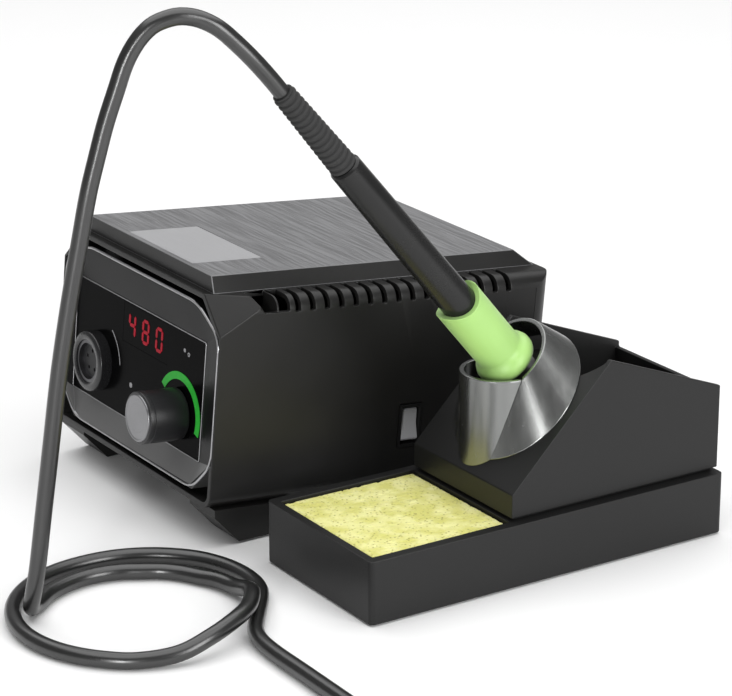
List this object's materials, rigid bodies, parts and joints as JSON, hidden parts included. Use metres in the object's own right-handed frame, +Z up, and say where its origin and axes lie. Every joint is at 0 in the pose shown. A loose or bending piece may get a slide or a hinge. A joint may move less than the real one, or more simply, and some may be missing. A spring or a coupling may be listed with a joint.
{
  "type": "soldering iron station",
  "caption": "Soldering iron station: a display control unit with knob and iron socket, a stand with cleaning sponge and funnel holder, and a green-gripped iron on its lead.",
  "frame": {"origin": "centre of the footprint on the table, measured without the lead", "axes": "+X towards the iron stand's side (the unit's right), +Y to the back, +Z up"},
  "size_m": [0.399, 0.3215, 0.2558],
  "materials": {
    "case_plastic": "matte moulded",
    "lid_plastic": "brushed striations",
    "inlay_plastic": "smooth satin",
    "bezel_plastic": "fine satin",
    "panel_gloss": "glossy",
    "green_print": "printed",
    "red_led": "glowing",
    "circuit_board": "solder mask",
    "socket_plastic": "satin",
    "socket_metal": "satin anodised",
    "insert_plastic": "moulded",
    "brass": "machined",
    "contact_metal": "plated",
    "screw_steel": "zinc plated",
    "knob_plastic": "satin",
    "knob_metal": "spun",
    "rocker_plastic": "moulded",
    "fuse_glass": "clear",
    "core_steel": "laminated",
    "copper_wire": "enamelled copper",
    "capacitor_sleeve": "shrink sleeve",
    "heatsink_metal": "extruded",
    "foot_rubber": "soft",
    "stand_plastic": "satin moulded",
    "funnel_metal": "satin spun",
    "tube_metal": "drawn",
    "sponge_foam": "cellulose sponge",
    "handle_plastic": "satin",
    "grip_rubber": "soft touch",
    "relief_rubber": "ribbed",
    "barrel_steel": "turned",
    "tip_metal": "plated",
    "heater_ceramic": "ceramic",
    "cord_sheath": "silicone"
  },
  "bodies": {
    "root": {"housing": "case_plastic", "base_plate": "case_plastic", "lid": "lid_plastic", "lid_inlay": "inlay_plastic", "bezel": "bezel_plastic", "front_panel": "panel_gloss", "scale_arc": "green_print", "display_module": "panel_gloss", "display_digits": "red_led", "display_board": "circuit_board", "socket_ring": "socket_plastic", "socket_shell": "socket_metal", "socket_insert": "insert_plastic", "potentiometer": "socket_metal", "pot_nut": "brass", "rocker_frame": "insert_plastic", "rear_panel": "case_plastic", "mains_inlet": "insert_plastic", "inlet_pins": "contact_metal", "transformer_core": "core_steel", "transformer_coil": "copper_wire", "transformer_bracket": "screw_steel", "power_board": "circuit_board", "capacitors": "capacitor_sleeve", "heatsink": "heatsink_metal", "feet": "case_plastic", "foot_pads": "foot_rubber", "case_screws": "screw_steel", "stand_tray": "stand_plastic", "stand_base": "stand_plastic", "iron_holder": "stand_plastic", "funnel": "funnel_metal", "funnel_cup": "funnel_metal", "guide_tube": "tube_metal", "stand_pads": "foot_rubber", "stand_screws": "screw_steel", "cord_loop": "cord_sheath", "cord_tail": "cord_sheath", "cord_spare": "cord_sheath", "cord_end": "cord_sheath", "plug_relief": "relief_rubber", "plug_shell": "socket_plastic", "plug_insert": "insert_plastic"},
    "knob": {"knob": "knob_plastic", "knob_cap": "knob_metal", "knob_shaft": "screw_steel"},
    "rocker": {"rocker": "rocker_plastic"},
    "fuse_drawer": {"fuse_drawer": "insert_plastic", "fuse": "fuse_glass"},
    "sponge": {"sponge": "sponge_foam"},
    "iron": {"handle": "handle_plastic", "grip": "grip_rubber", "strain_relief": "relief_rubber", "tip_nut": "barrel_steel", "barrel": "barrel_steel", "tip": "tip_metal", "heater": "heater_ceramic", "handle_board": "circuit_board", "cord_upper": "cord_sheath"},
    "plug_ring": {"plug_ring": "socket_metal"}
  },
  "joints": [
    {"name": "knob_turn", "type": "hinge", "parent": "root", "child": "knob", "pos_m": [-0.0185, -0.08937, 0.05136], "axis": [0, -0.9957, 0.0924], "range_deg": [0, 270]},
    {"name": "rocker_tilt", "type": "hinge", "parent": "root", "child": "rocker", "pos_m": [0.0146, 0.01226, 0.03721], "axis": [0, 0.9957, -0.0924], "range_deg": [0, 18]},
    {"name": "fuse_drawer_pull", "type": "slide", "parent": "root", "child": "fuse_drawer", "axis": [0, 0.9957, -0.0924], "range_m": [0, 0.012]},
    {"name": "sponge_lift", "type": "slide", "parent": "root", "child": "sponge", "axis": [0, 0, 1], "range_m": [0, 0.03]},
    {"name": "iron_lift", "type": "slide", "parent": "root", "child": "iron", "axis": [0, -0.6428, 0.766], "range_m": [0, 0.1]},
    {"name": "plug_ring_turn", "type": "hinge", "parent": "root", "child": "plug_ring", "pos_m": [0.211, -0.1747, 0.0085], "axis": [-1, 0, 0], "continuous": true}
  ]
}
